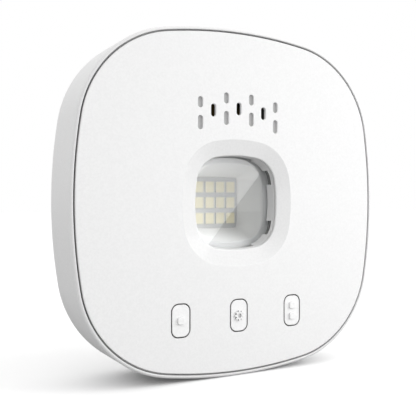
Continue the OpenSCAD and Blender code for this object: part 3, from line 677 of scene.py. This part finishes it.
def cut_face(bm):
    """The window, the sound slots and the button holes."""
    add_loft(bm, profile_rings(window_outline, window_profile()))
    for n in OPEN_COLUMNS:
        slot_cutter(bm, n * SLOT_PITCH, column_z(n), SLOT_OPEN, SLOT_FACE, SLOT_RELIEF)
    for n in PAIR_COLUMNS:
        slot_cutter(bm, n * SLOT_PITCH, column_z(n) + SLOT_PAIR / 2, SLOT_UPPER, SLOT_BLIND)
        slot_cutter(bm, n * SLOT_PITCH, column_z(n) - SLOT_PAIR / 2, SLOT_LOWER, SLOT_BLIND)
    hole = mouth_profile(HOLE_ROUND, COVER_T + OVER)
    for x in BUTTON_XS:
        add_loft(bm, profile_rings(lambda u, at=(x, BUTTON_Z): rounded_rect(BUTTON_HOLE, u, at), hole))


def cover_profile():
    """Over the rounded edge of the face and down the rib that enters the housing."""
    inner = -RIB_INSET - RIB_T
    profile = arc((-COVER_INSET - COVER_ROUND, COVER_ROUND), COVER_ROUND, -90, 0)
    profile += [(-COVER_INSET, COVER_T), (-RIB_INSET, COVER_T), (-RIB_INSET, COVER_T + RIB_H)]
    profile += [(inner, COVER_T + RIB_H), (inner, COVER_T)]
    return profile


def add_tunnel_and_posts(bm):
    """The window's pad and tunnel, the posts for the housing screws and bosses for the inner screws."""
    tunnel = [(PAD_W, COVER_T - LAP), (PAD_W, COVER_T + PAD_T)]
    tunnel += [(TUNNEL_WALL, COVER_T + PAD_T), (TUNNEL_WALL, TUNNEL_DEPTH)]
    add_loft(bm, profile_rings(window_outline, tunnel))
    for x, z in corners(POST_POS, POST_POS):
        rod(bm, x, z, COVER_T - LAP, TOWER_D, POST_R)
    for x in BUTTON_SCREW_XS:
        rod(bm, x, BUTTON_Z, COVER_T - LAP, BUTTON_BOARD_D, BOSS_R)
    for side in (-1, 1):
        rod(bm, side * SIREN_EAR_X, SLOT_Z, COVER_T - LAP, SIREN_EAR_D, BOSS_R)


def add_collar_and_bosses(bm):
    """The siren's collar, and the bosses for the reflector's screws."""
    for x, z in corners(EAR_POS, EAR_POS):
        rod(bm, x, z, COVER_T - LAP, LENS_BACK_D, BOSS_R)
    foot, top = COVER_T - LAP, COVER_T + COLLAR_H
    collar = ((COLLAR_OUT, foot), (COLLAR_OUT, top), (COLLAR_IN, top), (COLLAR_IN, foot))
    add_loft(bm, [(circle(radius, (0, SLOT_Z)), depth) for radius, depth in collar], closed=True)


def cut_side_notches(bm):
    """Two notches in the end of each of the tunnel's upright walls."""
    for side in (-1, 1):
        block(bm, 0, side * NOTCH_OFF, NOTCH_REACH, NOTCH_SHORT, TUNNEL_DEPTH - NOTCH_H, TUNNEL_DEPTH + OVER)


def cut_end_notches(bm):
    """One long notch in the end of each of the tunnel's level walls."""
    block(bm, 0, 0, NOTCH_LONG, NOTCH_REACH, TUNNEL_DEPTH - NOTCH_H, TUNNEL_DEPTH + OVER)


def is_dish(x, d, z, normal):
    return max(abs(x), abs(z)) < DISH_REACH and SKIN_D < d < DISH_DEPTH + LIP_ROUND


def is_tunnel(x, d, z, normal):
    return max(abs(x), abs(z)) < WINDOW_LINE[0] + OVER and DISH_DEPTH + LIP_ROUND < d < TUNNEL_DEPTH


def is_slot_floor(x, d, z, normal):
    return z > DISH_REACH and abs(d - SLOT_BLIND) < NEAR and normal.y < -FACING


def build_front_cover():
    bm = bmesh.new()
    add_loft(bm, profile_rings(hub_outline, cover_profile()))
    piece = new_piece("cover_shell", bm)
    for addition in (add_tunnel_and_posts, add_collar_and_bosses):
        combine(piece, "UNION", addition)
    for cut in (cut_face, cut_side_notches, cut_end_notches):
        combine(piece, "DIFFERENCE", cut)
    dress(piece, "front_cover", "hub", [cover_white, dish_white, slot_grey, shaded_tunnel_white])
    faces_where(piece, dish_white, is_dish)
    faces_where(piece, shaded_tunnel_white, is_tunnel)
    faces_where(piece, slot_grey, is_slot_floor)


# Strobe light


def add_reflector_ears(bm):
    for x, z in corners(EAR_POS, EAR_POS):
        rod(bm, x, z, LENS_BACK_D, LENS_BACK_D + FLANGE_T, EAR_R)


def build_reflector():
    """A funnel: up its inside, over its rounded mouth and its flange, and down its outside."""
    flange = LENS_BACK_D + FLANGE_T
    section = (
        (RECESS_LINE, 0.0, LED_BOARD_D),
        (RECESS_LINE, 0.0, FUNNEL_FOOT_D),
        (MOUTH_LINE, -MOUTH_ROUND / 2, LENS_BACK_D + MOUTH_ROUND),
        (MOUTH_LINE, MOUTH_ROUND / 4, LENS_BACK_D + MOUTH_ROUND / 8),
        (MOUTH_LINE, MOUTH_ROUND, LENS_BACK_D),
        (MOUTH_LINE, FLANGE_OUT, LENS_BACK_D),
        (MOUTH_LINE, FLANGE_OUT, flange),
        (MOUTH_LINE, REFLECTOR_WALL, flange),
        (RECESS_LINE, REFLECTOR_WALL, FUNNEL_FOOT_D),
        (RECESS_LINE, REFLECTOR_WALL, LED_BOARD_D),
    )
    bm = bmesh.new()
    add_loft(bm, [(rounded_square(line, grow), depth) for line, grow, depth in section], closed=True)
    piece = new_piece("reflector_funnel", bm)
    combine(piece, "UNION", add_reflector_ears)
    dress(piece, "light_reflector", "hub", [reflector_white])


def build_lens():
    """A clear plate with broken edges, a hair clear of what holds it so that light passes between them."""
    front, back = TUNNEL_DEPTH + LENS_CLEAR, LENS_BACK_D - LENS_CLEAR
    profile = [(-LENS_EDGE, front), (0.0, front + LENS_EDGE), (0.0, back - LENS_EDGE), (-LENS_EDGE, back)]
    bm = bmesh.new()
    add_loft(bm, profile_rings(lambda u: window_outline(TUNNEL_WALL + u), profile))
    piece = new_piece("lens_plate", bm)
    dress(piece, "window_lens", "hub", [lens_clear])
    piece.visible_shadow = False


def build_leds():
    """Each emitter is a small frame with a sunk field of phosphor."""
    top = LED_BOARD_D - LED_H
    size = (*LED_SIZE, LED_CORNER)
    profile = [(0.0, LED_BOARD_D), (0.0, top + LED_EDGE), (-LED_EDGE, top)]
    profile += [(-LED_FRAME, top), (-LED_FRAME, top + LED_SUNK)]
    bm = bmesh.new()
    for column in range(LED_COLUMNS):
        x = (column - (LED_COLUMNS - 1) / 2) * LED_PITCH[0]
        for row in range(LED_ROWS):
            z = (row - (LED_ROWS - 1) / 2) * LED_PITCH[1]
            add_loft(bm, profile_rings(lambda u, at=(x, z): rounded_rect(size, u, at), profile))
    piece = new_piece("led_packages", bm)
    dress(piece, "strobe_leds", "hub", [led_body, led_phosphor])
    faces_where(piece, led_phosphor, lambda x, d, z, normal: normal.y < -FACING and d > top + LED_SUNK / 2)


# Buttons


def button_base(x):
    """The cap with its rounded edge, the flange behind the cover and the stem."""
    stem_r, stem_end = BUTTON_STEM
    edge = arc((-BUTTON_ROUND, BUTTON_ROUND), BUTTON_ROUND, -90, 0)
    rows = [(BUTTON_CAP, u, d) for u, d in edge] + [(BUTTON_CAP, 0.0, BUTTON_FLANGE_D[0])]
    rows += [(BUTTON_FLANGE, 0.0, d) for d in BUTTON_FLANGE_D]
    rows += [((2 * stem_r, 2 * stem_r, stem_r), 0.0, d) for d in (BUTTON_FLANGE_D[1], stem_end)]
    bm = bmesh.new()
    add_loft(bm, [(rounded_rect(size, u, (x, BUTTON_Z)), d) for size, u, d in rows])
    return bm


def add_marks(bm, outlines):
    """Raised marks with rounded top edges, sunk a little into the cap."""
    profile = [(0.0, LAP)] + arc((-ICON_ROUND, ICON_ROUND - ICON_H), ICON_ROUND, 0, -90)
    for outline in outlines:
        add_loft(bm, profile_rings(outline, profile))


def build_button(name, x, body, marks, bore=None):
    """A button with its marks, given as outlines. A bore, (place, radius), stops just above the cap."""
    piece = new_piece(name + "_cap", button_base(x))
    combine(piece, "UNION", lambda bm: add_marks(bm, marks))
    if bore:
        at, radius = bore
        combine(piece, "DIFFERENCE", lambda bm: rod(bm, *at, -OVER, GEAR_BORE_D, radius))
    dress(piece, name, body, [button_white])


def dot(x, z):
    return lambda u: rounded_rect((DOT_W, DOT_W, DOT_R), u, (x, z))


def build_buttons():
    left, middle, right = BUTTON_XS
    build_button("left_button", left, "left_key", [dot(left, BUTTON_Z)])
    at = (middle, BUTTON_Z)
    cog = [lambda u: gear(at, u * GEAR_ROUND)]
    build_button("settings_button", middle, "settings_key", cog, (at, GEAR_R * GEAR_BORE))
    pair = [dot(right, BUTTON_Z + side * DOT_PITCH / 2) for side in (-1, 1)]
    build_button("right_button", right, "right_key", pair)


# What stays as the frame made it


def dress_cad_nodes():
    """Gives each CAD node that still shows its material, and a few of them a broken edge."""
    slots = {p["node"]: p["material_slot"] for p in frame["record"]["subparts"]}
    for name, node in frame["nodes"].items():
        if node.hide_render:
            continue
        node.data.materials.clear()
        node.data.materials.append(NODE_MATERIALS.get(name) or SLOT_MATERIALS[slots[name]])
        if name in EDGED_NODES:
            edge = node.modifiers.new("edge", "BEVEL")
            edge.width = NODE_EDGE * MM
            edge.segments = NODE_EDGE_STEPS
            edge.limit_method = "ANGLE"
            edge.angle_limit = SHARP_ANGLE


# Studio


# The camera fitted to the photograph, in metres, radians and pixels, with its sensor in millimetres
CAMERA_AT = Vector((-0.12777, -0.24363, 0.00110))
CAMERA_YAW = 0.493972
CAMERA_PITCH = 0.012377
CAMERA_ROLL = 0.000166
FOCAL_PIXELS = 659.239
IMAGE_PIXELS = 416
SENSOR = 36.0
CLIP_START = 0.01

# The floor at the hub's foot, with its tone for the camera and for the object, and the sky's strength,
# level and overhead
FLOOR_Z = -HUB_LINE[0] * MM
FLOOR_HALF = 3.0
FLOOR_CELLS = 8
FLOOR_SEEN = 0.99
FLOOR_BOUNCE = 0.41
AMBIENT_LOW = 0.95
AMBIENT_HIGH = 1.13
FACE_CENTRE = Vector((0.0, FRONT_Y * MM, 0.0))

# Lamps: a softbox at the right, and a narrow lamp for the window with its cone in degrees
KEY_AT = (0.52, -0.32, 0.18)
KEY_SIZE = 0.35
KEY_POWER = 2.3
SPOT_AT = (0.02, -0.25, 0.20)
SPOT_TARGET = (-0.002, -0.018, -0.012)
SPOT_CONE = 4.0
SPOT_RADIUS = 0.01
SPOT_POWER = 0.65

# The softbox that shows in the lens, by the photograph's pixels: its straight edge, and how far it goes on
# from there, with its distance and its strengths at the foot and at the top
GLARE_EDGE = ((196.0, 261.3), (278.0, 149.2))
GLARE_REACH = Vector((-72.0, -54.0))
GLARE_DISTANCE = 0.55
GLARE_STRENGTH = (4.4, 5.9)

# The lights that show in the dish: bearings to the right of the face's axis and heights, both in degrees,
# and strengths at the foot and at the top
STRIP = ((40.5, 48.8), (-4.0, 40.0), (2.0, 2.0))
PANEL = ((-20.0, 23.0), (1.7, 40.0), (0.8, 0.8))
PANEL_DISTANCE = 0.6


def camera_axes():
    """The camera's right, up and backward directions, as columns."""
    looking = Matrix(((1, 0, 0), (0, 0, -1), (0, 1, 0)))
    turn = (Matrix.Rotation(CAMERA_ROLL, 3, "Z") @ Matrix.Rotation(CAMERA_PITCH, 3, "X") @ looking
            @ Matrix.Rotation(CAMERA_YAW, 3, "Z"))
    return Matrix((turn[0], -turn[1], -turn[2])).transposed()


def add_camera():
    data = bpy.data.cameras.new("camera")
    data.sensor_width = SENSOR
    data.lens = FOCAL_PIXELS * SENSOR / IMAGE_PIXELS
    data.clip_start = CLIP_START
    camera = bpy.data.objects.new("camera", data)
    camera.matrix_world = Matrix.Translation(CAMERA_AT) @ camera_axes().to_4x4()
    bpy.context.scene.collection.objects.link(camera)
    bpy.context.scene.camera = camera


def mapped(nodes, links, source, low, high):
    """A source from 0 to 1 spread between two values, each a number or the output of a node."""
    span = nodes.new("ShaderNodeMapRange")
    links.new(source, span.inputs["Value"])
    for name, value in (("To Min", low), ("To Max", high)):
        if isinstance(value, bpy.types.NodeSocket):
            links.new(value, span.inputs[name])
        else:
            span.inputs[name].default_value = value
    return span.outputs["Result"]


def by_ray(nodes, links, rays, low, high):
    """The high value where a ray is of one of the kinds named, and the low one elsewhere."""
    path = nodes.new("ShaderNodeLightPath")
    total = path.outputs[rays[0]]
    for ray in rays[1:]:
        either = nodes.new("ShaderNodeMath")
        either.operation = "MAXIMUM"
        links.new(total, either.inputs[0])
        links.new(path.outputs[ray], either.inputs[1])
        total = either.outputs[0]
    return mapped(nodes, links, total, low, high)


def add_world():
    """White for the camera and in reflections, and a graded sky for all other light and through the lens."""
    world = bpy.data.worlds.new("studio")
    bpy.context.scene.world = world
    world.use_nodes = True
    nodes, links = world.node_tree.nodes, world.node_tree.links
    background = nodes["Background"]
    background.inputs["Color"].default_value = (1.0, 1.0, 1.0, 1.0)
    axes = nodes.new("ShaderNodeSeparateXYZ")
    links.new(nodes.new("ShaderNodeTexCoord").outputs["Generated"], axes.inputs["Vector"])
    ambient = mapped(nodes, links, axes.outputs["Z"], AMBIENT_LOW, AMBIENT_HIGH)
    seen = by_ray(nodes, links, ("Is Camera Ray", "Is Glossy Ray"), ambient, 1.0)
    links.new(by_ray(nodes, links, ("Is Transmission Ray",), seen, ambient), background.inputs["Strength"])


def add_floor():
    """A white floor that throws less light on the object than the camera sees."""
    bm = bmesh.new()
    bmesh.ops.create_grid(bm, x_segments=FLOOR_CELLS, y_segments=FLOOR_CELLS, size=FLOOR_HALF)
    bmesh.ops.translate(bm, verts=bm.verts, vec=(0, 0, FLOOR_Z))
    floor = new_piece("floor", bm)
    shader = Shader("floor_white", (FLOOR_SEEN,) * 3, roughness=0.9, Specular_IOR_Level=0.0)
    tone = by_ray(shader.nodes, shader.links, ("Is Camera Ray",), FLOOR_BOUNCE, FLOOR_SEEN)
    shader.links.new(tone, shader.bsdf.inputs["Base Color"])
    floor.data.materials.append(shader.material)


def add_lamp(data, at, target):
    """Places a lamp and turns it to a point."""
    lamp = bpy.data.objects.new(data.name, data)
    lamp.location = at
    lamp.rotation_euler = (Vector(target) - Vector(at)).to_track_quat("-Z", "Y").to_euler()
    bpy.context.scene.collection.objects.link(lamp)
    return lamp


def add_key():
    """A softbox turned to the middle of the face, which shiny surfaces don't mirror."""
    data = bpy.data.lights.new("key", "AREA")
    data.shape = "SQUARE"
    data.size = KEY_SIZE
    data.energy = KEY_POWER
    add_lamp(data, KEY_AT, FACE_CENTRE).visible_glossy = False


def add_window_lamp():
    """A narrow lamp that looks down into the window."""
    data = bpy.data.lights.new("window", "SPOT")
    data.spot_size = math.radians(SPOT_CONE)
    data.spot_blend = 1.0
    data.shadow_soft_size = SPOT_RADIUS
    data.energy = SPOT_POWER
    add_lamp(data, SPOT_AT, SPOT_TARGET)


def add_card(name, corner_points, strengths):
    """A bright sheet, graded from its foot to its top, that only shiny surfaces see.

    Light on its way through the lens passes it.
    """
    bm = bmesh.new()
    bm.faces.new([bm.verts.new(point) for point in corner_points])
    card = new_piece(name, bm)
    material = bpy.data.materials.new(name)
    material.use_nodes = True
    material.cycles.emission_sampling = "NONE"
    nodes, links = material.node_tree.nodes, material.node_tree.links
    glow = nodes.new("ShaderNodeEmission")
    axes = nodes.new("ShaderNodeSeparateXYZ")
    links.new(nodes.new("ShaderNodeTexCoord").outputs["Generated"], axes.inputs["Vector"])
    links.new(mapped(nodes, links, axes.outputs["Z"], *strengths), glow.inputs["Strength"])
    either = nodes.new("ShaderNodeMixShader")
    links.new(nodes.new("ShaderNodeLightPath").outputs["Is Transmission Ray"], either.inputs["Fac"])
    links.new(glow.outputs["Emission"], either.inputs[1])
    links.new(nodes.new("ShaderNodeBsdfTransparent").outputs["BSDF"], either.inputs[2])
    links.new(either.outputs["Shader"], nodes["Material Output"].inputs["Surface"])
    card.data.materials.append(material)
    card.visible_camera = False
    card.visible_diffuse = False
    card.visible_transmission = False
    card.visible_shadow = False


def mirrored(pixel):
    """Where the ray through a pixel, turned back by the lens, meets the plane of the softbox."""
    x, y = ((p - IMAGE_PIXELS / 2) / FOCAL_PIXELS for p in pixel)
    ray = camera_axes() @ Vector((x, -y, -1.0))
    lens_y = (FRONT_Y + TUNNEL_DEPTH) * MM
    at = CAMERA_AT + ray * ((lens_y - CAMERA_AT.y) / ray.y)
    return at + Vector((ray.x, -ray.y, ray.z)) * (GLARE_DISTANCE / ray.y)


def add_glare():
    low, high = (Vector(pixel) for pixel in GLARE_EDGE)
    pixels = (low, high, high + GLARE_REACH, low + GLARE_REACH)
    add_card("glare", [mirrored(pixel) for pixel in pixels], GLARE_STRENGTH)


def add_panel(name, bearings, heights, strengths):
    """A card in front of the face, between two bearings and two heights."""
    (first, last), (low, high) = bearings, heights
    points = []
    for bearing, height in ((first, low), (last, low), (last, high), (first, high)):
        turn = math.radians(bearing)
        level = Vector((math.sin(turn), -math.cos(turn), math.tan(math.radians(height))))
        points.append(FACE_CENTRE + PANEL_DISTANCE * level)
    add_card(name, points, strengths)


def add_studio():
    add_camera()
    add_world()
    add_floor()
    add_key()
    add_window_lamp()
    add_glare()
    add_panel("strip", *STRIP)
    add_panel("panel", *PANEL)
    bpy.context.scene.view_settings.view_transform = "Standard"


build_rear_housing()
build_front_cover()
build_reflector()
build_lens()
build_leds()
build_buttons()
dress_cad_nodes()
add_studio()
